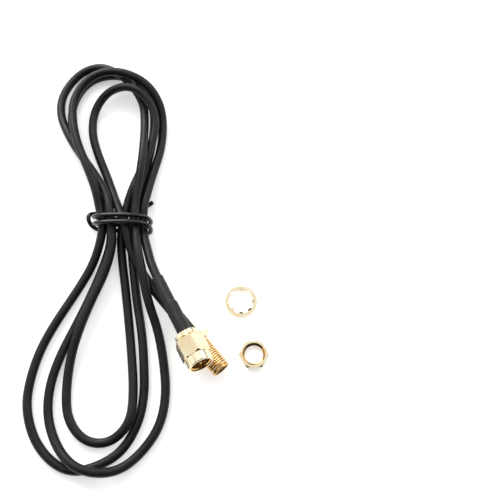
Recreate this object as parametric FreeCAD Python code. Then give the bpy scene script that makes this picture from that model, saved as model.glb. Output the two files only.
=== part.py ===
"""Coaxial antenna extension lead: SMA plug to SMA bulkhead jack, wound in a hank and tied.

The lead lies on a flat surface at z = 0, with the loose lock washer and hex nut of the jack
beside it. All sizes are in millimetres. +X is to the right, +Y is along the hank and +Z is up.
Distances along a connector are measured back from its mating end, along its own axis.
"""

import FreeCAD
import Part
import math
import os

from FreeCAD import Placement, Rotation, Vector

# Cable, one RG174 coaxial cable: radii of its layers, from the outside in
JACKET_R = 1.40
JACKET_BORE_R = 1.05
BRAID_R = 1.00
BRAID_BORE_R = 0.80
DIELECTRIC_R = 0.75
DIELECTRIC_BORE_R = 0.28
CONDUCTOR_R = 0.25
ARC_SHARE = 0.45

# Twist tie: plastic sleeve over a steel wire
TIE_R = 0.70
TIE_WIRE_R = 0.22

# The 1/4-36 UNS thread that both connectors share, and its hex size
THREAD_MAJOR_R = 3.175
THREAD_ROOT_R = 2.76
THREAD_MINOR_R = 2.85
THREAD_CLEAR_R = 3.22
THREAD_PITCH = 25.4 / 36
CREST_SHARE = 0.16
ACROSS_FLATS = 8.0
HEX_CORNER_R = ACROSS_FLATS / math.sqrt(3)
HEX_CHAMFER = 0.5

# SMA mating line inside both connectors
OUTER_TUBE_R = 2.295
JACK_BORE_R = 2.30
INSULATOR_BORE_R = 2.05
INSULATOR_R = 2.03
CONTACT_R = 0.635
PIN_R = 0.46
SOCKET_R = 0.475
SOLDER_CAVITY_R = 1.20
SLIP = 0.02
EDGE = 0.15

# Cable end of both connectors: crimp stem, ferrule and heat shrink
STEM_BORE_R = 0.80
STEM_R = 1.15
STEM_LENGTH = 5.4
BRAID_FLARE = 1.4
JACKET_STRIP = 1.6
FERRULE_BORE_R = 1.45
FERRULE_R = 1.72
FERRULE_LENGTH = 8.6
SHRINK_WIDE_R = 2.17
SHRINK_NARROW_R = 1.85
SHRINK_SLOPE = 1.1
LEAD_OUT = 4.0

# Plug: distances back from the mouth of its coupling nut
PLUG_TIP = (17.0, -37.6, 14.0)
PLUG_AZIMUTH = -62.7
PLUG_PITCH = 10.5
PLUG_ROLL = -13.0
NUT_SKIRT_R = 3.85
NUT_HEX_START = 2.8
NUT_LENGTH = 8.7
NUT_BEARING_R = 2.80
NUT_THREAD = (0.3, 4.4)
PLUG_FACE = 2.6
PLUG_SHOULDER = 5.3
PLUG_SHOULDER_R = 2.75
PLUG_INSULATOR_END = 9.0
PLUG_CONTACT_END = 9.5
PLUG_CONTACT_FLOOR = 7.85
GASKET_R = 3.0
GASKET_THICKNESS = 0.75
RING_GROOVE = (6.45, 7.25)
RING_GROOVE_R = 2.35
RING_R = 3.08
RING_GAP = 1.2
PLUG_BAND_START = 9.2
PLUG_BAND_R = 3.5
PLUG_REAR = 10.7
PLUG_SHRINK_STEP = 21.2
PLUG_SHRINK_END = 31.6

# Jack: distances back from the tip of its threaded barrel
JACK_TIP = (22.5, -37.35, 4.0)
JACK_AZIMUTH = -50.0
JACK_ROLL = 30.0
JACK_FACE = 1.93
BARREL_NOSE_R = 2.85
BARREL_THREAD = (0.95, 10.4)
BARREL_LENGTH = 11.0
FLANGE_RELIEF_R = 3.3
JACK_REAR = 13.0
JACK_SHRINK_STEP = 22.6
JACK_SHRINK_END = 33.0
JACK_INSULATOR_END = 10.0
JACK_CONTACT_END = 11.4
JACK_CONTACT_FLOOR = 9.75
SOCKET_DEPTH = 2.8
SLOT_WIDTH = 0.2

# Loose lock washer and hex nut
WASHER_CENTRE = (28.2, -15.3)
WASHER_OUTER_R = 4.9
WASHER_RING_R = 3.9
WASHER_TOOTH_R = 3.3
WASHER_THICKNESS = 0.5
WASHER_TEETH = 8
TOOTH_ROOT_WIDTH = 1.6
TOOTH_TIP_WIDTH = 0.9
TOOTH_TWIST = 10.0
TOOTH_RISE = 25.0
LOOSE_NUT_CENTRE = (32.1, -32.1)
LOOSE_NUT_TURN = 2.0
LOOSE_NUT_THICKNESS = 2.0
LOOSE_NUT_COUNTERSINK = 0.2

# The lead on its way from the plug to the jack, hand laid on the surface
PLUG_LEAD = [(-1, 0, 5.3), (-2.5, 5, 4.2), (-3, 10, 3.6)]
OUTER_UPPER_LOOP = [
    (-3, 14.5, 4.6), (-2, 20.5, 3.8), (-0.5, 28.5, 2), (1.5, 36.5, 1.4), (2, 45.5, 1.4),
    (1, 52.5, 3.5), (-3, 58.5, 6.2), (-10, 62, 7.9), (-18, 63, 7.6), (-24.5, 59.5, 6.6),
    (-28, 52.5, 6.2), (-27.5, 44.5, 6.8), (-25, 35.5, 7.6), (-21, 27, 7.8), (-18, 19.5, 7.1),
    (-17, 14.5, 5.4),
]
OUTER_LOWER_LOOP = [
    (-15.5, 9, 5), (-16, 3.5, 4), (-18.5, -4, 1.6), (-23, -12.5, 1.4), (-28, -21, 1.4),
    (-32.5, -30, 1.4), (-35, -39.5, 1.4), (-35.5, -48, 1.4), (-32.5, -57, 1.4),
    (-27, -63.5, 1.4), (-20.5, -66.5, 1.4), (-13.5, -65, 1.4), (-6.5, -61, 1.4),
    (-2, -53, 1.4), (-0.5, -44.5, 1.4), (-1, -35.5, 1.4), (-2, -26, 1.4), (-4, -16, 1.4),
    (-5.5, -6.5, 1.4), (-6.5, 1.5, 2.1),
]
BOTTOM_UPPER_LOOP = [
    (-7, 7.5, 3), (-5.5, 14.5, 3.1), (-4.5, 22, 1.9), (-3, 30, 1.4), (-1.5, 39, 1.4),
    (-1, 48, 1.4), (-2.5, 56, 1.4), (-7.5, 63, 1.4), (-16, 65.5, 1.4), (-24, 63, 1.4),
    (-28.5, 56, 1.4), (-29.5, 47.5, 1.4), (-26.5, 38.5, 1.4), (-22.5, 30, 1.4),
    (-18.5, 22, 2.2), (-14.5, 14.5, 3),
]
SECOND_LOWER_LOOP = [
    (-13.5, 9, 3), (-13, 3.5, 2.4), (-15, -4, 1.4), (-18.5, -14, 1.4), (-22.5, -23.5, 1.4),
    (-26.5, -32.5, 1.4), (-29, -41.5, 1.4), (-29, -50.5, 1.4), (-25.5, -59, 2.6),
    (-20, -65, 4.6), (-13, -67, 4.5), (-6.5, -66, 2.4), (-0.5, -61, 1.4), (4.5, -53.5, 1.4),
    (6, -44.5, 1.4), (5, -35, 1.4), (3, -25, 2.4), (-0.2, -16.5, 5.6), (-2, -8, 7.4),
    (-4, 0, 7.1), (-5, 6.5, 5.8),
]
LEFT_UPPER_LOOP = [
    (-5.5, 13, 5.8), (-5, 20, 6.5), (-4, 27, 7.4), (-3.5, 35.5, 7.1), (-4, 45.5, 3.6),
    (-5, 54, 1.5), (-9, 60, 3.8), (-14, 64, 5), (-21, 67.5, 3.4), (-28, 65.5, 1.4),
    (-33, 57.5, 1.4), (-33, 49, 2), (-28.5, 39.5, 4.5), (-23.5, 32, 4.5), (-18.5, 25, 4.7),
    (-15, 19, 5.4), (-13.5, 13.5, 6.5),
]
INNER_LOWER_LOOP = [
    (-12.5, 7.5, 6), (-12, 1.5, 5.3), (-14, -7, 4.3), (-17.5, -15.5, 4.3), (-20.5, -24, 4.3),
    (-23, -32.5, 2.6), (-24, -42.5, 1.4), (-23, -51.5, 1.4), (-17.5, -58, 1.4),
    (-10, -58.5, 1.9), (-4, -53, 3.7), (-3.5, -44, 2.8), (-5, -31.5, 1.4),
    (-6.5, -20.5, 1.4), (-8, -10.5, 1.4), (-9.5, -1.5, 1.6), (-10, 5, 2.8),
]
INNER_UPPER_LOOP = [
    (-9.5, 10.5, 2.9), (-8.5, 16, 2.9), (-7, 21, 4.1), (-4, 28.5, 4.4), (-1.5, 36, 4.3),
    (0, 44.5, 4.4), (-2, 52.5, 5.8), (-8.5, 58, 6.8), (-16.5, 57.5, 4.4), (-21.5, 51.5, 1.8),
    (-22, 43, 1.4), (-19.5, 35, 1.4), (-16, 27, 1.4), (-13.5, 20.5, 2.3),
]
JACK_LEAD = [(-11.5, 15.5, 4.7), (-9.5, 11, 6.4), (-8, 6.5, 6.2), (-7, 2, 5.2), (-4.5, -3.5, 4.3)]
HANK = (
    PLUG_LEAD + OUTER_UPPER_LOOP + OUTER_LOWER_LOOP + BOTTOM_UPPER_LOOP + SECOND_LOWER_LOOP
    + LEFT_UPPER_LOOP + INNER_LOWER_LOOP + INNER_UPPER_LOOP + JACK_LEAD
)

# The twist tie, from its cut end behind the hank and round it three times
TIE_ROUTE = [
    (-0.3, 17.6, 1.9), (-3, 15.9, 0.8), (-6.5, 14.8, 0.7), (-11, 14.4, 0.7), (-15.3, 13.9, 0.7),
    (-18.8, 13.6, 1.7), (-20.9, 12.4, 3.6), (-20.3, 9.6, 2.2), (-17.6, 8.1, 0.7),
    (-12, 8.2, 0.7), (-6.5, 7.9, 0.7), (-2.5, 7, 0.9), (-0.5, 6.6, 2.8), (-0.3, 7.5, 5.4),
    (-2.2, 8.1, 7.6), (-5.5, 8.3, 8.5), (-10, 8.2, 8.9), (-14.5, 8.1, 8.7), (-17.7, 8.3, 7),
    (-18.3, 9.2, 4.4), (-17.3, 10.1, 1.6), (-14.8, 10.1, 0.7), (-8, 10.1, 0.7),
    (-3, 9.9, 0.8), (-0.6, 9.5, 2.8), (-0.4, 9.9, 5.6), (-2.2, 10.3, 7.8), (-5.5, 10.4, 8.7),
    (-10, 10.4, 9.1), (-14.7, 10.4, 8.9), (-18.2, 10.6, 7), (-18.7, 11.4, 4.2),
    (-17.6, 12, 1.6), (-15, 12, 0.7), (-8, 12, 0.7),
]

Z_AXIS = Vector(0, 0, 1)
Y_AXIS = Vector(0, 1, 0)
ORIGIN = Vector(0, 0, 0)


def save(name, shape):
    """Writes one sub-part as parts/NAME.step."""
    shape.exportStep(f"parts/{name}.step")


def turned(outline):
    """A solid of revolution about the connector axis, from (radius, distance back) points."""
    points = [Vector(radius, 0, -back) for radius, back in outline]
    face = Part.Face(Part.makePolygon(points + points[:1]))
    return face.revolve(ORIGIN, Z_AXIS, 360)


def tube(bore, radius, start, end):
    """A plain round sleeve between two distances back from the mating end."""
    return turned([(bore, start), (radius, start), (radius, end), (bore, end)])


def thread_outline(start, end, crest, root):
    """Outline of the thread's ridges, from start to end: each has a flat crest on steep flanks."""
    ridges = int((end - start) / THREAD_PITCH)
    flat = CREST_SHARE * THREAD_PITCH
    outline = []
    for ridge in range(ridges):
        middle = start + (ridge + 0.5) * THREAD_PITCH
        foot = THREAD_PITCH / 2 - flat / 2
        outline.append((root, middle - foot))
        outline.append((crest, middle - flat / 2))
        outline.append((crest, middle + flat / 2))
        outline.append((root, middle + foot))
    return outline


def cut_flats(shape, start, end, roll):
    """Takes six flats off a turned collar, so that it is a hexagon across ACROSS_FLATS."""
    depth = 4.0
    width = 2 * ACROSS_FLATS
    for side in range(6):
        block = Part.makeBox(depth, width, end - start, Vector(ACROSS_FLATS / 2, -width / 2, -end))
        block.rotate(ORIGIN, Z_AXIS, 30 + roll + 60 * side)
        shape = shape.cut(block)
    return shape


def mating_frame(tip, azimuth, pitch):
    """The frame of a connector: its origin at the mating end, its Z out along the axis."""
    turn = Rotation(Z_AXIS, azimuth).multiply(Rotation(Y_AXIS, 90 - pitch))
    return Placement(Vector(*tip), turn)


def placed(shape, frame):
    """The shape carried from the connector's own frame to where the connector lies."""
    return shape.transformed(frame.toMatrix())


PLUG_FRAME = mating_frame(PLUG_TIP, PLUG_AZIMUTH, PLUG_PITCH)
JACK_FRAME = mating_frame(JACK_TIP, JACK_AZIMUTH, 0.0)


def behind(frame, back):
    """The point on a connector's axis at that distance back from its mating end."""
    return frame.multVec(Vector(0, 0, -back))


def tangent_path(points):
    """Straight runs between the points, joined by tangent arcs whose radii it prints."""
    edges = []
    radii = []
    here = points[0]
    for before, corner, after in zip(points, points[1:], points[2:]):
        back = before - corner
        on = after - corner
        reach = ARC_SHARE * min(back.Length, on.Length)
        half_turn = (math.pi - back.getAngle(on)) / 2
        radius = reach / math.tan(half_turn)
        back.normalize()
        on.normalize()
        inward = back + on
        inward.normalize()
        start = corner + back * reach
        end = corner + on * reach
        middle = corner + inward * (radius / math.cos(half_turn) - radius)
        edges.append(Part.LineSegment(here, start).toShape())
        edges.append(Part.Arc(start, middle, end).toShape())
        radii.append(radius)
        here = end
    edges.append(Part.LineSegment(here, points[-1]).toShape())
    print("arc radii, mm:", " ".join(f"{radius:.1f}" for radius in radii))
    return edges


def ring_face(centre, direction, radius, bore):
    """A flat disc across a path's end, with a hole in it if bore isn't zero."""
    rims = [Part.Wire(Part.makeCircle(radius, centre, direction))]
    if bore:
        rims.append(Part.Wire(Part.makeCircle(bore, centre, direction)))
    return Part.Face(rims, "Part::FaceMakerBullseye")


def swept(name, edges, radius, bore):
    """A round layer swept along the path, checked against its section times its length."""
    path = Part.Wire(edges)
    start = edges[0].Vertexes[0].Point
    direction = edges[0].tangentAt(edges[0].FirstParameter)
    solid = path.makePipe(ring_face(start, direction, radius, bore))
    expected = math.pi * (radius**2 - bore**2) * path.Length
    print(f"{name}: path {path.Length:.1f} mm")
    print(f"{name}: volume {solid.Volume:.1f} mm3 and section times length {expected:.1f} mm3")
    return solid


def hank_path():
    """The lead's path between the ends of its two heat shrinks."""
    points = [behind(PLUG_FRAME, PLUG_SHRINK_END), behind(PLUG_FRAME, PLUG_SHRINK_END + LEAD_OUT)]
    points += [Vector(*point) for point in HANK]
    points += [behind(JACK_FRAME, JACK_SHRINK_END + LEAD_OUT), behind(JACK_FRAME, JACK_SHRINK_END)]
    return tangent_path(points)


def drawn_out(edges, plug_back, jack_back):
    """The path carried on straight into both connectors, to those distances back."""
    plug_end = behind(PLUG_FRAME, PLUG_SHRINK_END)
    jack_end = behind(JACK_FRAME, JACK_SHRINK_END)
    first = Part.LineSegment(behind(PLUG_FRAME, plug_back), plug_end).toShape()
    last = Part.LineSegment(jack_end, behind(JACK_FRAME, jack_back)).toShape()
    return [first] + edges + [last]


def flared_braid(frame, rear):
    """The end of the braid, opened out over a connector's crimp stem."""
    inner = STEM_R + SLIP
    outer = FERRULE_BORE_R - 0.05
    front = rear + 0.4
    knee = rear + STEM_LENGTH + 0.1
    end = rear + STEM_LENGTH + BRAID_FLARE
    outline = [
        (inner, front), (outer, front), (outer, knee), (BRAID_R, end), (BRAID_BORE_R, end),
        (inner, knee),
    ]
    return placed(turned(outline), frame)


def make_cable():
    """The four layers of the coaxial cable, each stripped back further than the one inside it."""
    hank = hank_path()

    strip = STEM_LENGTH + JACKET_STRIP
    edges = drawn_out(hank, PLUG_REAR + strip, JACK_REAR + strip)
    save("cable_jacket", swept("cable_jacket", edges, JACKET_R, JACKET_BORE_R))

    flare = STEM_LENGTH + BRAID_FLARE
    edges = drawn_out(hank, PLUG_REAR + flare, JACK_REAR + flare)
    braid = swept("cable_braid", edges, BRAID_R, BRAID_BORE_R)
    ends = [flared_braid(PLUG_FRAME, PLUG_REAR), flared_braid(JACK_FRAME, JACK_REAR)]
    save("cable_braid", braid.multiFuse(ends))

    gap = 0.2
    edges = drawn_out(hank, PLUG_CONTACT_END + gap, JACK_CONTACT_END + gap)
    save("cable_dielectric", swept("cable_dielectric", edges, DIELECTRIC_R, DIELECTRIC_BORE_R))

    gap = 0.05
    edges = drawn_out(hank, PLUG_CONTACT_FLOOR + gap, JACK_CONTACT_FLOOR + gap)
    save("cable_conductor", swept("cable_conductor", edges, CONDUCTOR_R, 0))


def make_twist_tie():
    """The tie's plastic sleeve and the steel wire in it, cut flush at both ends."""
    edges = tangent_path([Vector(*point) for point in TIE_ROUTE])
    save("twist_tie", swept("twist_tie", edges, TIE_R, TIE_WIRE_R))
    save("twist_tie_wire", swept("twist_tie_wire", edges, TIE_WIRE_R, 0))


def hex_collar(start, end):
    """Outline points of a collar that becomes a hexagon, with both rims chamfered."""
    rim = HEX_CORNER_R - HEX_CHAMFER
    return [
        (rim, start), (HEX_CORNER_R, start + HEX_CHAMFER),
        (HEX_CORNER_R, end - HEX_CHAMFER), (rim, end),
    ]


def make_coupling_nut():
    """The plug's hex nut: a round skirt at its mouth, thread inside, and a bearing on the body."""
    outside = [
        (THREAD_CLEAR_R, 0), (NUT_SKIRT_R - EDGE, 0), (NUT_SKIRT_R, EDGE),
        (NUT_SKIRT_R, NUT_HEX_START),
    ]
    outside += hex_collar(NUT_HEX_START, NUT_LENGTH)
    groove_start, groove_end = RING_GROOVE
    shoulder_room = PLUG_SHOULDER + 0.3
    inside = [
        (NUT_BEARING_R, NUT_LENGTH), (NUT_BEARING_R, groove_end),
        (THREAD_CLEAR_R, groove_end), (THREAD_CLEAR_R, groove_start),
        (NUT_BEARING_R, groove_start), (NUT_BEARING_R, shoulder_room),
        (THREAD_CLEAR_R, shoulder_room),
    ]
    inside += reversed(thread_outline(*NUT_THREAD, THREAD_MINOR_R, THREAD_CLEAR_R))
    nut = cut_flats(turned(outside + inside), NUT_HEX_START, NUT_LENGTH, PLUG_ROLL)
    save("plug_coupling_nut", placed(nut, PLUG_FRAME))


def make_plug_body():
    """The plug's outer conductor: mating tube, ring groove, rear band and crimp stem."""
    groove_start, groove_end = RING_GROOVE
    stem_end = PLUG_REAR + STEM_LENGTH
    cavity_end = PLUG_REAR - 0.6
    body = turned([
        (INSULATOR_BORE_R, PLUG_FACE), (OUTER_TUBE_R - EDGE, PLUG_FACE),
        (OUTER_TUBE_R, PLUG_FACE + EDGE), (OUTER_TUBE_R, PLUG_SHOULDER),
        (PLUG_SHOULDER_R, PLUG_SHOULDER), (PLUG_SHOULDER_R, groove_start),
        (RING_GROOVE_R, groove_start), (RING_GROOVE_R, groove_end),
        (PLUG_SHOULDER_R, groove_end), (PLUG_SHOULDER_R, PLUG_BAND_START),
        (PLUG_BAND_R - EDGE, PLUG_BAND_START), (PLUG_BAND_R, PLUG_BAND_START + EDGE),
        (PLUG_BAND_R, PLUG_REAR - EDGE), (PLUG_BAND_R - EDGE, PLUG_REAR),
        (STEM_R, PLUG_REAR), (STEM_R, stem_end), (STEM_BORE_R, stem_end),
        (STEM_BORE_R, cavity_end), (SOLDER_CAVITY_R, cavity_end),
        (SOLDER_CAVITY_R, PLUG_INSULATOR_END), (INSULATOR_BORE_R, PLUG_INSULATOR_END),
    ])
    save("plug_body", placed(body, PLUG_FRAME))


def make_plug_core():
    """The plug's insulator and its centre pin, with a cup for the conductor behind."""
    insulator = tube(CONTACT_R + SLIP, INSULATOR_R, PLUG_FACE + 0.05, PLUG_INSULATOR_END - 0.05)
    save("plug_insulator", placed(insulator, PLUG_FRAME))

    cup_r = CONDUCTOR_R + SLIP
    collar = PLUG_FACE + EDGE
    contact = turned([
        (0, 0.5), (PIN_R - 0.2, 0.5), (PIN_R, 0.8), (PIN_R, collar), (CONTACT_R, collar),
        (CONTACT_R, PLUG_CONTACT_END), (cup_r, PLUG_CONTACT_END), (cup_r, PLUG_CONTACT_FLOOR),
        (0, PLUG_CONTACT_FLOOR),
    ])
    save("plug_contact", placed(contact, PLUG_FRAME))


def make_plug_rings():
    """The gasket at the plug's shoulder and the split ring that keeps the nut on."""
    start = PLUG_SHOULDER - GASKET_THICKNESS
    gasket = tube(OUTER_TUBE_R + SLIP, GASKET_R, start, PLUG_SHOULDER - SLIP)
    save("plug_gasket", placed(gasket, PLUG_FRAME))

    groove_start, groove_end = RING_GROOVE
    side_room = 0.12
    ring = tube(RING_GROOVE_R + SLIP, RING_R, groove_start + side_room, groove_end - side_room)
    width = 2 * (groove_end - groove_start)
    corner = Vector(0, -RING_GAP / 2, -groove_end - width / 4)
    gap = Part.makeBox(2 * RING_R, RING_GAP, width, corner)
    save("plug_retaining_ring", placed(ring.cut(gap), PLUG_FRAME))


def make_jack_body():
    """The bulkhead jack's outer conductor: threaded barrel, hex flange and crimp stem."""
    stem_end = JACK_REAR + STEM_LENGTH
    cavity_end = JACK_REAR - 1.0
    nose = 0.7
    rim = 0.1
    outline = [
        (JACK_BORE_R, JACK_FACE), (JACK_BORE_R, rim), (JACK_BORE_R + rim, 0),
        (BARREL_NOSE_R - EDGE, 0), (BARREL_NOSE_R, EDGE), (BARREL_NOSE_R, nose),
        (THREAD_ROOT_R, nose + rim),
    ]
    outline += thread_outline(*BARREL_THREAD, THREAD_MAJOR_R, THREAD_ROOT_R)
    relief = BARREL_LENGTH + EDGE
    outline += [
        (THREAD_ROOT_R, relief), (FLANGE_RELIEF_R, relief), (FLANGE_RELIEF_R, BARREL_LENGTH),
    ]
    outline += hex_collar(BARREL_LENGTH, JACK_REAR)
    outline += [
        (STEM_R, JACK_REAR), (STEM_R, stem_end), (STEM_BORE_R, stem_end),
        (STEM_BORE_R, cavity_end), (SOLDER_CAVITY_R, cavity_end),
        (SOLDER_CAVITY_R, JACK_INSULATOR_END), (INSULATOR_BORE_R, JACK_INSULATOR_END),
        (INSULATOR_BORE_R, JACK_FACE),
    ]
    body = cut_flats(turned(outline), BARREL_LENGTH, JACK_REAR, JACK_ROLL)
    save("jack_body", placed(body, JACK_FRAME))


def make_jack_core():
    """The jack's insulator and its slotted socket contact."""
    insulator = tube(CONTACT_R + SLIP, INSULATOR_R, JACK_FACE, JACK_INSULATOR_END - 0.05)
    save("jack_insulator", placed(insulator, JACK_FRAME))

    front = JACK_FACE + 0.1
    floor = front + SOCKET_DEPTH
    cup_r = CONDUCTOR_R + SLIP
    contact = turned([
        (SOCKET_R, front), (CONTACT_R, front), (CONTACT_R, JACK_CONTACT_END),
        (cup_r, JACK_CONTACT_END), (cup_r, JACK_CONTACT_FLOOR), (0, JACK_CONTACT_FLOOR),
        (0, floor), (SOCKET_R, floor),
    ])
    slot_end = floor - 0.6
    for turn in (45, 135):
        corner = Vector(-2 * CONTACT_R, -SLOT_WIDTH / 2, -slot_end)
        slot = Part.makeBox(4 * CONTACT_R, SLOT_WIDTH, slot_end, corner)
        slot.rotate(ORIGIN, Z_AXIS, turn)
        contact = contact.cut(slot)
    save("jack_contact", placed(contact, JACK_FRAME))


def make_cable_end(prefix, frame, rear, step, end):
    """The crimp ferrule and the stepped heat shrink behind a connector."""
    ferrule = tube(FERRULE_BORE_R, FERRULE_R, rear + 0.1, rear + 0.1 + FERRULE_LENGTH)
    save(f"{prefix}_crimp_ferrule", placed(ferrule, frame))

    wide_bore = FERRULE_R + SLIP
    narrow_bore = JACKET_R + SLIP
    front = rear + 0.03
    wall = SHRINK_WIDE_R - wide_bore
    shrink = turned([
        (wide_bore, front), (SHRINK_WIDE_R, front), (SHRINK_WIDE_R, step),
        (SHRINK_NARROW_R, step + SHRINK_SLOPE), (SHRINK_NARROW_R, end), (narrow_bore, end),
        (narrow_bore, step + SHRINK_SLOPE - wall), (wide_bore, step - wall),
    ])
    save(f"{prefix}_heat_shrink", placed(shrink, frame))


def make_tooth():
    """One tapered tooth of the washer, pointing inwards, a little twisted and bent upwards."""
    root = WASHER_RING_R + 0.1
    half_tip = TOOTH_TIP_WIDTH / 2
    half_root = TOOTH_ROOT_WIDTH / 2
    corners = [
        Vector(WASHER_TOOTH_R, -half_tip, 0), Vector(root, -half_root, 0),
        Vector(root, half_root, 0), Vector(WASHER_TOOTH_R, half_tip, 0),
    ]
    tooth = Part.Face(Part.makePolygon(corners + corners[:1])).extrude(Z_AXIS * WASHER_THICKNESS)
    tooth.translate(Z_AXIS * (-WASHER_THICKNESS / 2))
    tooth.rotate(ORIGIN, Vector(1, 0, 0), TOOTH_TWIST)
    tooth.rotate(Vector(WASHER_RING_R, 0, 0), Y_AXIS, TOOTH_RISE)
    return tooth


def make_lock_washer():
    """The internal-tooth lock washer, lying with the tips of its teeth upwards."""
    washer = tube(WASHER_RING_R, WASHER_OUTER_R, -WASHER_THICKNESS / 2, WASHER_THICKNESS / 2)
    teeth = []
    for number in range(WASHER_TEETH):
        tooth = make_tooth()
        tooth.rotate(ORIGIN, Z_AXIS, 360 * number / WASHER_TEETH)
        teeth.append(tooth)
    washer = washer.multiFuse(teeth)
    washer.translate(Vector(*WASHER_CENTRE, -washer.BoundBox.ZMin))
    save("lock_washer", washer)


def make_loose_nut():
    """The thin hex nut for the jack, countersunk on both faces, lying flat."""
    mouth = THREAD_CLEAR_R + LOOSE_NUT_COUNTERSINK
    depth = LOOSE_NUT_THICKNESS
    inside = [(mouth, depth), (THREAD_CLEAR_R, depth - LOOSE_NUT_COUNTERSINK)]
    inside += reversed(thread_outline(0.3, depth - 0.25, THREAD_MINOR_R, THREAD_CLEAR_R))
    inside += [(THREAD_CLEAR_R, LOOSE_NUT_COUNTERSINK), (mouth, 0)]
    nut = cut_flats(turned(hex_collar(0, depth) + inside), 0, depth, LOOSE_NUT_TURN)
    nut.translate(Vector(*LOOSE_NUT_CENTRE, depth))
    save("bulkhead_nut", nut)


def main():
    os.makedirs("parts", exist_ok=True)
    make_cable()
    make_twist_tie()
    make_coupling_nut()
    make_plug_body()
    make_plug_core()
    make_plug_rings()
    make_cable_end("plug", PLUG_FRAME, PLUG_REAR, PLUG_SHRINK_STEP, PLUG_SHRINK_END)
    make_jack_body()
    make_jack_core()
    make_cable_end("jack", JACK_FRAME, JACK_REAR, JACK_SHRINK_STEP, JACK_SHRINK_END)
    make_lock_washer()
    make_loose_nut()


main()
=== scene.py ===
import math

import bpy
from mathutils import Matrix, Vector, noise


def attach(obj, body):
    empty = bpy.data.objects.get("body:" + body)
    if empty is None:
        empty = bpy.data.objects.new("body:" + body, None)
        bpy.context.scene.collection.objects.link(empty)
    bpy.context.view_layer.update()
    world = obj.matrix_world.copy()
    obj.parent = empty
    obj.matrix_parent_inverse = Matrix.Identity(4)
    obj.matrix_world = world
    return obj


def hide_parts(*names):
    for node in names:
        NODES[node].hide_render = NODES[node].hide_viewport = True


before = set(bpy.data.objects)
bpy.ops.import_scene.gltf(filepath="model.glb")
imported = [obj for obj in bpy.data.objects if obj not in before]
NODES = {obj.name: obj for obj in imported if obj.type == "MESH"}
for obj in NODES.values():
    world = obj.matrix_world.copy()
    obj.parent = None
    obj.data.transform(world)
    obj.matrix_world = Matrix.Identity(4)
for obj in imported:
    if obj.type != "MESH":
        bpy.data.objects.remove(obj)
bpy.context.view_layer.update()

MM = 0.001

# Camera: over the wide end of the hank, 71 degrees above the surface
CAMERA_PLACE = (29.1 * MM, -75.7 * MM, 225.05 * MM)
CAMERA_TILT = math.radians(19)
CAMERA_LENS = 53.64
CAMERA_SENSOR = 36
CAMERA_CLIP = (0.005, 5)

# Floor and studio light. A sky value holds the dark and the bright end of one part of the
# direction, and the share of light that is left at the dark end
FLOOR_HALF = 1.2
FLOOR_GLOW = 0.46
WORLD_STRENGTH = 0.88
BACKDROP_STRENGTH = 0.95
SKY_HEIGHT = (0.0, 0.6, 0.35)
SKY_FRONT = (-0.60, -0.15, 0.05)
SKY_RIGHT = (0.9, 0.1, 0.45)

# Soft lights that face the object: name, place, diameter and power
LIGHTS = (
    ("key", (-0.35, 0.75, 0.52), 0.80, 8.0),
    ("left_softbox", (-0.75, 0.02, 0.22), 0.50, 0.40),
    ("fill", (0.6, 0.5, 0.55), 0.8, 2.6),
)

# Cable and twist tie, how far the cable runs straight on behind a heat shrink, the share of the
# tie's first and last stretch that its plastic is cut back by, and how finely both are drawn
CABLE_R = 1.4 * MM
TIE_R = 0.7 * MM
LEAD_OUT = 4.0 * MM
TIE_CUT_BACK = 0.04
STEPS_ALONG = 8
STEPS_ROUND = 6

# Connectors: where their mating ends are. Each heat shrink has the distances back from there
# of its front rim, its step and its rear rim
PLUG_TIP = Vector((17.0, -37.6, 14.0)) * MM
PLUG_AZIMUTH = math.radians(-62.7)
PLUG_PITCH = math.radians(10.5)
PLUG_SHRINK = (10.73 * MM, 21.2 * MM, 31.6 * MM)
JACK_TIP = Vector((22.5, -37.35, 4.0)) * MM
JACK_AZIMUTH = math.radians(-50.0)
JACK_SHRINK = (13.03 * MM, 22.6 * MM, 33.0 * MM)
WASHER_CENTRE = Vector((28.2, -15.3, 0.0)) * MM
NUT_CENTRE = Vector((32.1, -32.1, 0.0)) * MM

# Heat shrink: outer radii over the ferrule and over the cable, its wall, the length of its step,
# how round its rims are, and how far the cable's jacket runs into it
SHRINK_WIDE_R = 2.15 * MM
SHRINK_NARROW_R = 1.83 * MM
SHRINK_WALL = 0.40 * MM
SHRINK_SLOPE = 1.2 * MM
SHRINK_RIM = 0.12 * MM
SHRINK_OVERLAP = 3.0 * MM
SHRINK_STATIONS = 120
SHRINK_SIDES = 56

# Its uneven skin: the deepest hollow, and the size and the share of folds and of dimples
SHRINK_LUMP = 0.07 * MM
FOLD_WIDTH = 1.6 * MM
FOLD_LENGTH = 3.2 * MM
FOLD_SHARE = 0.75
DIMPLE_SIZE = 0.7 * MM

# Broken edges on the metal: their width, and the largest angle between faces that is left alone
EDGE_BREAK = 0.06 * MM
EDGE_ANGLE = math.radians(28)

# Radii in the metal's thread where the darker painted shade of the grooves ends, and where the plate
# has none
PLUG_GROOVES = (3.22 * MM, 3.40 * MM)
JACK_GROOVES = (2.84 * MM, 3.16 * MM)
NUT_GROOVES = (3.15 * MM, 3.45 * MM)
WASHER_GROOVES = (2.9 * MM, 3.6 * MM)

# How far light goes into milky plastic and into silicone, for red, green and blue
MILKY_DEPTH = (0.8 * MM, 0.8 * MM, 0.7 * MM)
SILICONE_DEPTH = (0.6 * MM, 0.2 * MM, 0.1 * MM)

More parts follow.
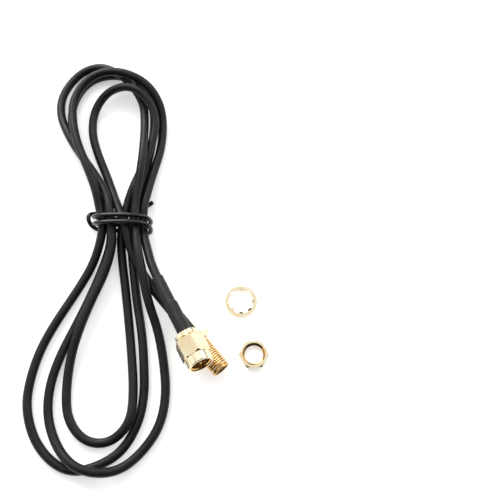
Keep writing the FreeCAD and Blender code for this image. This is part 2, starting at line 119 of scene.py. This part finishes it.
# The lead's route from the plug to the jack, in millimetres
HANK = [
    (-1, 0, 5.3), (-2.5, 5, 4.2), (-3, 10, 3.6),
    (-3, 14.5, 4.6), (-2, 20.5, 3.8), (-0.5, 28.5, 2), (1.5, 36.5, 1.4), (2, 45.5, 1.4),
    (1, 52.5, 3.5), (-3, 58.5, 6.2), (-10, 62, 7.9), (-18, 63, 7.6), (-24.5, 59.5, 6.6),
    (-28, 52.5, 6.2), (-27.5, 44.5, 6.8), (-25, 35.5, 7.6), (-21, 27, 7.8), (-18, 19.5, 7.1),
    (-17, 14.5, 5.4),
    (-15.5, 9, 5), (-16, 3.5, 4), (-18.5, -4, 1.6), (-23, -12.5, 1.4), (-28, -21, 1.4),
    (-32.5, -30, 1.4), (-35, -39.5, 1.4), (-35.5, -48, 1.4), (-32.5, -57, 1.4),
    (-27, -63.5, 1.4), (-20.5, -66.5, 1.4), (-13.5, -65, 1.4), (-6.5, -61, 1.4),
    (-2, -53, 1.4), (-0.5, -44.5, 1.4), (-1, -35.5, 1.4), (-2, -26, 1.4), (-4, -16, 1.4),
    (-5.5, -6.5, 1.4), (-6.5, 1.5, 2.1),
    (-7, 7.5, 3), (-5.5, 14.5, 3.1), (-4.5, 22, 1.9), (-3, 30, 1.4), (-1.5, 39, 1.4),
    (-1, 48, 1.4), (-2.5, 56, 1.4), (-7.5, 63, 1.4), (-16, 65.5, 1.4), (-24, 63, 1.4),
    (-28.5, 56, 1.4), (-29.5, 47.5, 1.4), (-26.5, 38.5, 1.4), (-22.5, 30, 1.4),
    (-18.5, 22, 2.2), (-14.5, 14.5, 3),
    (-13.5, 9, 3), (-13, 3.5, 2.4), (-15, -4, 1.4), (-18.5, -14, 1.4), (-22.5, -23.5, 1.4),
    (-26.5, -32.5, 1.4), (-29, -41.5, 1.4), (-29, -50.5, 1.4), (-25.5, -59, 2.6),
    (-20, -65, 4.6), (-13, -67, 4.5), (-6.5, -66, 2.4), (-0.5, -61, 1.4), (4.5, -53.5, 1.4),
    (6, -44.5, 1.4), (5, -35, 1.4), (3, -25, 2.4), (-0.2, -16.5, 5.6), (-2, -8, 7.4),
    (-4, 0, 7.1), (-5, 6.5, 5.8),
    (-5.5, 13, 5.8), (-5, 20, 6.5), (-4, 27, 7.4), (-3.5, 35.5, 7.1), (-4, 45.5, 3.6),
    (-5, 54, 1.5), (-9, 60, 3.8), (-14, 64, 5), (-21, 67.5, 3.4), (-28, 65.5, 1.4),
    (-33, 57.5, 1.4), (-33, 49, 2), (-28.5, 39.5, 4.5), (-23.5, 32, 4.5), (-18.5, 25, 4.7),
    (-15, 19, 5.4), (-13.5, 13.5, 6.5),
    (-12.5, 7.5, 6), (-12, 1.5, 5.3), (-14, -7, 4.3), (-17.5, -15.5, 4.3), (-20.5, -24, 4.3),
    (-23, -32.5, 2.6), (-24, -42.5, 1.4), (-23, -51.5, 1.4), (-17.5, -58, 1.4),
    (-10, -58.5, 1.9), (-4, -53, 3.7), (-3.5, -44, 2.8), (-5, -31.5, 1.4),
    (-6.5, -20.5, 1.4), (-8, -10.5, 1.4), (-9.5, -1.5, 1.6), (-10, 5, 2.8),
    (-9.5, 10.5, 2.9), (-8.5, 16, 2.9), (-7, 21, 4.1), (-4, 28.5, 4.4), (-1.5, 36, 4.3),
    (0, 44.5, 4.4), (-2, 52.5, 5.8), (-8.5, 58, 6.8), (-16.5, 57.5, 4.4), (-21.5, 51.5, 1.8),
    (-22, 43, 1.4), (-19.5, 35, 1.4), (-16, 27, 1.4), (-13.5, 20.5, 2.3),
    (-11.5, 15.5, 4.7), (-9.5, 11, 6.4), (-8, 6.5, 6.2), (-7, 2, 5.2), (-4.5, -3.5, 4.3),
]

# The twist tie's route, in millimetres
TIE = [
    (-0.3, 17.6, 1.9), (-3, 15.9, 0.8), (-6.5, 14.8, 0.7), (-11, 14.4, 0.7), (-15.3, 13.9, 0.7),
    (-18.8, 13.6, 1.7), (-20.9, 12.4, 3.6), (-20.3, 9.6, 2.2), (-17.6, 8.1, 0.7),
    (-12, 8.2, 0.7), (-6.5, 7.9, 0.7), (-2.5, 7, 0.9), (-0.5, 6.6, 2.8), (-0.3, 7.5, 5.4),
    (-2.2, 8.1, 7.6), (-5.5, 8.3, 8.5), (-10, 8.2, 8.9), (-14.5, 8.1, 8.7), (-17.7, 8.3, 7),
    (-18.3, 9.2, 4.4), (-17.3, 10.1, 1.6), (-14.8, 10.1, 0.7), (-8, 10.1, 0.7),
    (-3, 9.9, 0.8), (-0.6, 9.5, 2.8), (-0.4, 9.9, 5.6), (-2.2, 10.3, 7.8), (-5.5, 10.4, 8.7),
    (-10, 10.4, 9.1), (-14.7, 10.4, 8.9), (-18.2, 10.6, 7), (-18.7, 11.4, 4.2),
    (-17.6, 12, 1.6), (-15, 12, 0.7), (-8, 12, 0.7),
]


def make_camera():
    """The camera, over the wide end of the hank."""
    data = bpy.data.cameras.new("camera")
    data.lens = CAMERA_LENS
    data.sensor_width = CAMERA_SENSOR
    data.clip_start, data.clip_end = CAMERA_CLIP
    camera = bpy.data.objects.new("camera", data)
    camera.location = CAMERA_PLACE
    camera.rotation_euler = (CAMERA_TILT, 0, 0)
    bpy.context.scene.collection.objects.link(camera)
    bpy.context.scene.camera = camera


def mating_turn(azimuth, pitch):
    """The rotation of a connector's own frame, whose Z points out of its mating end."""
    return Matrix.Rotation(azimuth, 4, "Z") @ Matrix.Rotation(math.pi / 2 - pitch, 4, "Y")


PLUG_TURN = mating_turn(PLUG_AZIMUTH, PLUG_PITCH)
JACK_TURN = mating_turn(JACK_AZIMUTH, 0)
FLAT_TURN = Matrix.Identity(4)


def behind(tip, turn, back):
    """The point on a connector's axis at that distance back from its mating end."""
    return tip + turn.to_3x3() @ Vector((0, 0, -back))


def smooth_line(name, points, radius):
    """A round NURBS tube with those points as its control points."""
    data = bpy.data.curves.new(name, "CURVE")
    data.dimensions = "3D"
    data.resolution_u = STEPS_ALONG
    data.bevel_depth = 1.0
    data.bevel_resolution = STEPS_ROUND
    data.use_fill_caps = True
    spline = data.splines.new("NURBS")
    spline.points.add(len(points) - 1)
    for point, place in zip(spline.points, points):
        point.co = (*place, 1)
        point.radius = radius
    spline.order_u = 3
    spline.use_endpoint_u = True
    spline.use_smooth = True
    line = bpy.data.objects.new(name, data)
    bpy.context.scene.collection.objects.link(line)
    return line


def make_cable():
    """The lead's jacket, from inside one heat shrink to inside the other."""
    plug_end = PLUG_SHRINK[2]
    jack_end = JACK_SHRINK[2]
    points = [
        behind(PLUG_TIP, PLUG_TURN, plug_end - SHRINK_OVERLAP),
        behind(PLUG_TIP, PLUG_TURN, plug_end + LEAD_OUT),
    ]
    points += [Vector(point) * MM for point in HANK]
    points += [
        behind(JACK_TIP, JACK_TURN, jack_end + LEAD_OUT),
        behind(JACK_TIP, JACK_TURN, jack_end - SHRINK_OVERLAP),
    ]
    cable = smooth_line("jacket", points, CABLE_R)
    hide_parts("cable_jacket")
    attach(cable, "root")
    return cable


def make_tie():
    """The tie's plastic, cut a little short of its wire, so that the wire's ends show."""
    points = [Vector(point) * MM for point in TIE]
    points[0] = points[0].lerp(points[1], TIE_CUT_BACK)
    points[-1] = points[-1].lerp(points[-2], TIE_CUT_BACK)
    tie = smooth_line("tie_sleeve", points, TIE_R)
    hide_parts("twist_tie")
    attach(tie, "root")
    return tie


def shrink_radius(back, start, step, end):
    """The heat shrink's outer radius: full over the ferrule, drawn in over the cable."""
    if back < step:
        neck = 0.0
    else:
        share = min((back - step) / SHRINK_SLOPE, 1.0)
        neck = share * share * (3 - 2 * share)
    radius = SHRINK_WIDE_R + neck * (SHRINK_NARROW_R - SHRINK_WIDE_R)
    from_rim = min(back - start, end - back)
    if from_rim < SHRINK_RIM:
        radius -= SHRINK_RIM - math.sqrt(SHRINK_RIM**2 - (SHRINK_RIM - from_rim) ** 2)
    return radius


def shrink_lump(place, seed):
    """How far the tube is drawn in there, in metres: long folds and small dimples."""
    long_way = Vector((place.x / FOLD_WIDTH, place.y / FOLD_WIDTH, place.z / FOLD_LENGTH + seed))
    folds = abs(noise.noise(long_way))
    dimples = abs(noise.noise(place / DIMPLE_SIZE + Vector((seed, 0, 0))))
    return SHRINK_LUMP * (FOLD_SHARE * folds + (1 - FOLD_SHARE) * dimples)


def shrink_skins(marks, seed):
    """Rings of points on the heat shrink's outside and in its bore, in the connector's frame."""
    start, step, end = marks
    outside = []
    inside = []
    for station in range(SHRINK_STATIONS + 1):
        back = start + (end - start) * station / SHRINK_STATIONS
        centre = Vector((0, 0, -back))
        radius = shrink_radius(back, start, step, end)
        bore = (SHRINK_WIDE_R if back < step else SHRINK_NARROW_R) - SHRINK_WALL
        for side in range(SHRINK_SIDES):
            angle = math.tau * side / SHRINK_SIDES
            spoke = Vector((math.cos(angle), math.sin(angle), 0))
            lump = shrink_lump(centre + spoke * radius, seed)
            outside.append(centre + spoke * (radius - lump))
            inside.append(centre + spoke * bore)
    return outside, inside


def shrink_faces(inner):
    """Quads over both skins and both rims; the bore's points start at number inner."""
    faces = []
    last_ring = SHRINK_STATIONS * SHRINK_SIDES
    for side in range(SHRINK_SIDES):
        after = (side + 1) % SHRINK_SIDES
        for ring in range(0, last_ring, SHRINK_SIDES):
            here, there = ring + side, ring + after
            skin = (here, there, there + SHRINK_SIDES, here + SHRINK_SIDES)
            faces.append(skin)
            faces.append([inner + corner for corner in reversed(skin)])
        near_rim = (side, inner + side, inner + after, after)
        faces.append(near_rim)
        faces.append([last_ring + corner for corner in reversed(near_rim)])
    return faces


def make_heat_shrink(connector, tip, turn, marks, seed):
    """A stepped tube shrunk on by hand, so that its skin follows what is under it unevenly."""
    outside, inside = shrink_skins(marks, seed)
    places = [tip + turn.to_3x3() @ place for place in outside + inside]
    mesh = bpy.data.meshes.new(f"shrink_on_{connector}")
    mesh.from_pydata(places, [], shrink_faces(len(outside)))
    mesh.shade_smooth()
    tube = bpy.data.objects.new(mesh.name, mesh)
    bpy.context.scene.collection.objects.link(tube)
    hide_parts(f"{connector}_heat_shrink")
    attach(tube, "root")
    return tube


def break_edges():
    """Small rounded edges on the machined and stamped metal, which catch the light."""
    for node in ("plug_coupling_nut", "plug_body", "jack_body", "lock_washer", "bulkhead_nut"):
        bevel = NODES[node].modifiers.new("edge_break", "BEVEL")
        bevel.width = EDGE_BREAK
        bevel.segments = 2
        bevel.limit_method = "ANGLE"
        bevel.angle_limit = EDGE_ANGLE
        bevel.harden_normals = False
        bevel.use_clamp_overlap = True


make_camera()
plug_shrink = make_heat_shrink("plug", PLUG_TIP, PLUG_TURN, PLUG_SHRINK, seed=3.0)
jack_shrink = make_heat_shrink("jack", JACK_TIP, JACK_TURN, JACK_SHRINK, seed=11.0)
cable = make_cable()
tie = make_tie()


class Shader:
    """Builds one material out of nodes that read the object's own coordinates, in metres."""

    # Sockets of a Mix node that mixes colours: its two colours, and its result
    MIX_COLOURS = (6, 7)
    MIX_RESULT = 2

    def __init__(self, name):
        self.material = bpy.data.materials.new(name)
        self.material.use_nodes = True
        self.tree = self.material.node_tree
        self.surface = self.tree.nodes["Principled BSDF"]
        self.place = self.add("ShaderNodeTexCoord").outputs["Object"]

    def add(self, kind, **values):
        node = self.tree.nodes.new(kind)
        for key, value in values.items():
            setattr(node, key, value)
        return node

    def set(self, **values):
        """Sets sockets of the surface; a word's underscores stand for the socket's spaces."""
        for key, value in values.items():
            self.surface.inputs[key.replace("_", " ")].default_value = value

    def link(self, output, node, socket):
        self.tree.links.new(output, node.inputs[socket])

    def along(self, tip, turn):
        """Texture places in a connector's own frame, with Z along its axis."""
        node = self.add("ShaderNodeMapping", vector_type="TEXTURE")
        node.inputs["Location"].default_value = tip
        node.inputs["Rotation"].default_value = turn.to_euler()
        self.link(self.place, node, "Vector")
        self.place = node.outputs["Vector"]

    def stretch(self, scale):
        node = self.add("ShaderNodeMapping")
        node.inputs["Scale"].default_value = scale
        self.link(self.place, node, "Vector")
        return node.outputs["Vector"]

    def noise(self, size, detail=3, roughness=0.55, place=None):
        """Noise whose blobs are about size across, in metres."""
        node = self.add("ShaderNodeTexNoise")
        node.inputs["Scale"].default_value = 1 / size
        node.inputs["Detail"].default_value = detail
        node.inputs["Roughness"].default_value = roughness
        self.link(place or self.place, node, "Vector")
        return node.outputs["Fac"]

    def ramp(self, source, low, high, start=0.35, end=0.65):
        """A value or colour that goes from low to high as the source goes from start to end."""
        node = self.add("ShaderNodeValToRGB")
        node.color_ramp.elements[0].position = start
        node.color_ramp.elements[1].position = end
        for element, value in zip(node.color_ramp.elements, (low, high)):
            element.color = (value,) * 3 + (1,) if isinstance(value, float) else (*value, 1)
        self.link(source, node, "Fac")
        return node.outputs["Color"]

    def radius(self):
        """The distance from the Z axis of the texture's places, in metres."""
        flat = self.stretch((1.0, 1.0, 0.0))
        node = self.add("ShaderNodeVectorMath", operation="LENGTH")
        self.link(flat, node, 0)
        return node.outputs["Value"]

    def span(self, source, start, end):
        """A factor that rises from 0 to 1 as the source goes from start to end."""
        node = self.add("ShaderNodeMapRange", interpolation_type="SMOOTHSTEP")
        node.inputs["From Min"].default_value = start
        node.inputs["From Max"].default_value = end
        self.link(source, node, "Value")
        return node.outputs["Result"]

    def blend(self, factor, low, high):
        """The colour low where the factor is 0, and high where it is 1."""
        node = self.add("ShaderNodeMix", data_type="RGBA")
        self.link(factor, node, "Factor")
        for colour, socket in zip((low, high), self.MIX_COLOURS):
            self.link(colour, node, socket)
        return node.outputs[self.MIX_RESULT]

    def colour(self, source, low, high, start=0.35, end=0.65):
        self.link(self.ramp(source, low, high, start, end), self.surface, "Base Color")

    def roughness(self, source, low, high, start=0.35, end=0.65):
        self.link(self.ramp(source, low, high, start, end), self.surface, "Roughness")

    def bump(self, source, depth, before=None):
        """Adds bumps of that depth, in metres, on top of any that come before."""
        node = self.add("ShaderNodeBump")
        node.inputs["Distance"].default_value = depth
        self.link(source, node, "Height")
        if before:
            self.link(before, node, "Normal")
        self.link(node.outputs["Normal"], self.surface, "Normal")
        return node.outputs["Normal"]


def gold(name, tip, turn, grooves, deep=(0.93, 0.74, 0.44), pale=(0.99, 0.88, 0.64)):
    """Bright gold plate over machined brass, with darker painted shade in the thread's grooves and
    bore.

    grooves is the radius where the painted shade ends and the radius where the plate has none.
    """
    shader = Shader(name)
    shader.along(tip, turn)
    shader.set(Metallic=1.0)
    plate = shader.ramp(shader.noise(3.5 * MM, detail=3), deep, pale, 0.25, 0.60)
    # Painted shade: a darker tone on every radius inside the thread's grooves and the bore, where
    # shade falls
    groove_shade = shader.ramp(shader.noise(0.8 * MM, detail=4), (0.50, 0.29, 0.085), (0.74, 0.49, 0.190))
    unshaded = shader.span(shader.radius(), *grooves)
    shader.link(shader.blend(unshaded, groove_shade, plate), shader.surface, "Base Color")
    shader.roughness(shader.noise(1.4 * MM, detail=5, roughness=0.6), 0.15, 0.24)
    marks = shader.noise(0.25 * MM, detail=2, place=shader.stretch((0.15, 0.15, 5.0)))
    shader.bump(marks, 0.0015 * MM)
    return shader.material


def black_jacket():
    """Satin PVC with a fine extrusion grain and duller rubbed patches."""
    shader = Shader("black_pvc")
    shader.set(Specular_IOR_Level=0.30)
    shader.colour(shader.noise(7 * MM, detail=5), (0.0036, 0.0041, 0.0052), (0.0090, 0.0098, 0.0118))
    shader.roughness(shader.noise(2.2 * MM, detail=6, roughness=0.65), 0.36, 0.50)
    under = shader.bump(shader.noise(2.6 * MM, detail=2), 0.020 * MM)
    shader.bump(shader.noise(0.09 * MM, detail=3), 0.004 * MM, under)
    return shader.material


def heat_shrink(name, tip, turn):
    """Satin polyolefin with fine creases round the tube and duller patches."""
    shader = Shader(name)
    shader.along(tip, turn)
    shader.set(Specular_IOR_Level=0.32)
    shader.colour(shader.noise(3 * MM, detail=5), (0.0065, 0.0065, 0.0070), (0.0150, 0.0148, 0.0155))
    shader.roughness(shader.noise(1.3 * MM, detail=6, roughness=0.7), 0.40, 0.58)
    creases = shader.noise(0.9 * MM, detail=4, place=shader.stretch((0.5, 0.5, 2.2)))
    under = shader.bump(creases, 0.022 * MM)
    shader.bump(shader.noise(0.12 * MM, detail=3), 0.005 * MM, under)
    return shader.material


def glossy_tie():
    """Shiny black plastic over wire, with shallow dents where it was bent by hand."""
    shader = Shader("tie_black")
    shader.set(Specular_IOR_Level=0.50, Coat_Weight=0.25, Coat_Roughness=0.10)
    shader.colour(shader.noise(2.5 * MM, detail=4), (0.0040, 0.0040, 0.0045), (0.0095, 0.0095, 0.0105))
    shader.roughness(shader.noise(0.8 * MM, detail=5), 0.18, 0.30)
    shader.bump(shader.noise(2.4 * MM, detail=2), 0.030 * MM)
    return shader.material


def white_plastic(name, low, high, sheen):
    """Turned or extruded milky plastic."""
    shader = Shader(name)
    shader.set(Subsurface_Weight=sheen, Subsurface_Radius=MILKY_DEPTH, Subsurface_Scale=1.0)
    shader.colour(shader.noise(0.8 * MM, detail=4), low, high)
    shader.roughness(shader.noise(0.4 * MM, detail=4), 0.35, 0.52)
    shader.bump(shader.noise(0.1 * MM, detail=3), 0.004 * MM)
    return shader.material


def bare_metal(name, low, high, rough_low, rough_high, grain):
    """Plain wire or spring metal with a fine grain."""
    shader = Shader(name)
    shader.set(Metallic=1.0)
    shader.colour(shader.noise(0.6 * MM, detail=4), low, high)
    shader.roughness(shader.noise(0.3 * MM, detail=4), rough_low, rough_high)
    shader.bump(shader.noise(grain, detail=3), 0.01 * MM)
    return shader.material


def woven_braid():
    """Tinned copper braid: small bright cells with painted shade in the dark gaps between them."""
    shader = Shader("tinned_braid")
    shader.set(Metallic=1.0)
    cells = shader.add("ShaderNodeTexVoronoi", feature="DISTANCE_TO_EDGE")
    cells.inputs["Scale"].default_value = 1 / (0.22 * MM)
    shader.link(shader.place, cells, "Vector")
    gaps = cells.outputs["Distance"]
    # The dark gaps between the cells are painted shade
    shader.colour(gaps, (0.20, 0.18, 0.16), (0.80, 0.78, 0.75), 0.02, 0.25)
    shader.roughness(shader.noise(0.2 * MM), 0.25, 0.45)
    shader.bump(gaps, 0.06 * MM)
    return shader.material


def red_silicone():
    """Soft red silicone that light goes a little way into."""
    shader = Shader("red_silicone")
    shader.set(Subsurface_Weight=0.15, Subsurface_Radius=SILICONE_DEPTH, Subsurface_Scale=1.0)
    shader.colour(shader.noise(0.5 * MM), (0.38, 0.050, 0.028), (0.52, 0.085, 0.045))
    shader.roughness(shader.noise(0.3 * MM), 0.42, 0.58)
    shader.bump(shader.noise(0.08 * MM), 0.004 * MM)
    return shader.material


def dress(piece, material):
    """Gives a piece that one material."""
    piece.data.materials.clear()
    piece.data.materials.append(material)


def dress_all():
    """Gives every visible piece its material."""
    plug_gold = gold("gold_plug", PLUG_TIP, PLUG_TURN, PLUG_GROOVES)
    jack_gold = gold("gold_jack", JACK_TIP, JACK_TURN, JACK_GROOVES)
    nut_gold = gold("gold_nut", NUT_CENTRE, FLAT_TURN, NUT_GROOVES)
    washer_gold = gold("gold_washer", WASHER_CENTRE, FLAT_TURN, WASHER_GROOVES)
    contact_gold = bare_metal(
        "gold_contact", (0.80, 0.52, 0.20), (0.95, 0.70, 0.34), 0.15, 0.26, 0.1 * MM
    )
    ptfe = white_plastic("ptfe", (0.74, 0.74, 0.72), (0.88, 0.88, 0.86), 0.3)
    copper = bare_metal("copper_wire", (0.75, 0.36, 0.22), (0.92, 0.52, 0.36), 0.18, 0.32, 0.1 * MM)
    worn = {
        "plug_coupling_nut": plug_gold,
        "plug_body": plug_gold,
        "plug_crimp_ferrule": plug_gold,
        "jack_body": jack_gold,
        "jack_crimp_ferrule": jack_gold,
        "lock_washer": washer_gold,
        "bulkhead_nut": nut_gold,
        "plug_contact": contact_gold,
        "jack_contact": contact_gold,
        "plug_insulator": ptfe,
        "jack_insulator": ptfe,
        "plug_gasket": red_silicone(),
        "plug_retaining_ring": bare_metal(
            "spring_bronze", (0.50, 0.30, 0.15), (0.68, 0.44, 0.24), 0.25, 0.42, 0.15 * MM
        ),
        "cable_braid": woven_braid(),
        "cable_dielectric": white_plastic(
            "polyethylene", (0.70, 0.71, 0.68), (0.85, 0.86, 0.82), 0.5
        ),
        "cable_conductor": copper,
        "twist_tie_wire": bare_metal(
            "tie_steel", (0.36, 0.36, 0.37), (0.58, 0.58, 0.60), 0.30, 0.50, 0.12 * MM
        ),
    }
    for name, material in worn.items():
        dress(NODES[name], material)
    dress(cable, black_jacket())
    dress(tie, glossy_tie())
    dress(plug_shrink, heat_shrink("shrink_plug", PLUG_TIP, PLUG_TURN))
    dress(jack_shrink, heat_shrink("shrink_jack", JACK_TIP, JACK_TURN))


break_edges()
dress_all()


def make_floor():
    """A plain white floor that glows a little, so that shadows on it stay faint."""
    mesh = bpy.data.meshes.new("floor")
    corners = [(x * FLOOR_HALF, y * FLOOR_HALF, 0) for x, y in ((-1, -1), (1, -1), (1, 1), (-1, 1))]
    mesh.from_pydata(corners, [], [(0, 1, 2, 3)])
    floor = bpy.data.objects.new("floor", mesh)
    bpy.context.scene.collection.objects.link(floor)
    shader = Shader("pale_floor")
    shader.set(Roughness=0.9, Specular_IOR_Level=0.1, Base_Color=(0.93, 0.93, 0.93, 1))
    shader.set(Emission_Color=(1.0, 1.0, 1.0, 1), Emission_Strength=FLOOR_GLOW)
    dress(floor, shader.material)


def make_light(name, place, size, power):
    """A round soft light that faces the middle of the floor."""
    data = bpy.data.lights.new(name, "AREA")
    data.shape = "DISK"
    data.size = size
    data.energy = power
    light = bpy.data.objects.new(name, data)
    light.location = place
    light.rotation_euler = (-Vector(place)).to_track_quat("-Z", "Y").to_euler()
    bpy.context.scene.collection.objects.link(light)


def world_share(tree, output, dark_end, bright_end, dark):
    """A factor that rises from dark to 1 as one part of the sky's direction goes between two ends."""
    node = tree.nodes.new("ShaderNodeMapRange")
    node.interpolation_type = "SMOOTHSTEP"
    node.inputs["From Min"].default_value = dark_end
    node.inputs["From Max"].default_value = bright_end
    node.inputs["To Min"].default_value = dark
    node.inputs["To Max"].default_value = 1.0
    tree.links.new(output, node.inputs["Value"])
    return node.outputs["Result"]


def product(tree, one, other):
    """The product of two outputs of the world's nodes."""
    node = tree.nodes.new("ShaderNodeMath")
    node.operation = "MULTIPLY"
    tree.links.new(one, node.inputs[0])
    tree.links.new(other, node.inputs[1])
    return node.outputs["Value"]


def constant(tree, number):
    """A number as an output of the world's nodes."""
    node = tree.nodes.new("ShaderNodeValue")
    node.outputs[0].default_value = number
    return node.outputs[0]


def make_world():
    """A white studio that is dim low down, and dark on the side where the photographer stands.

    Past the floor's edge, a view of the object sees it as one plain white backdrop.
    """
    world = bpy.data.worlds.new("studio")
    world.use_nodes = True
    tree = world.node_tree
    sky = tree.nodes.new("ShaderNodeTexCoord").outputs["Generated"]
    parts = tree.nodes.new("ShaderNodeSeparateXYZ")
    tree.links.new(sky, parts.inputs["Vector"])
    height = world_share(tree, parts.outputs["Z"], *SKY_HEIGHT)
    front = world_share(tree, parts.outputs["Y"], *SKY_FRONT)
    right = world_share(tree, parts.outputs["X"], *SKY_RIGHT)
    brightness = product(tree, product(tree, height, front), right)
    strength = tree.nodes.new("ShaderNodeMix")
    rays = tree.nodes.new("ShaderNodeLightPath")
    tree.links.new(rays.outputs["Is Camera Ray"], strength.inputs["Factor"])
    tree.links.new(product(tree, brightness, constant(tree, WORLD_STRENGTH)), strength.inputs["A"])
    strength.inputs["B"].default_value = BACKDROP_STRENGTH
    background = tree.nodes["Background"]
    background.inputs["Color"].default_value = (1.0, 0.99, 0.97, 1)
    tree.links.new(strength.outputs["Result"], background.inputs["Strength"])
    bpy.context.scene.world = world


make_floor()
make_world()
for light in LIGHTS:
    make_light(*light)

view = bpy.context.scene.view_settings
view.view_transform = "Standard"
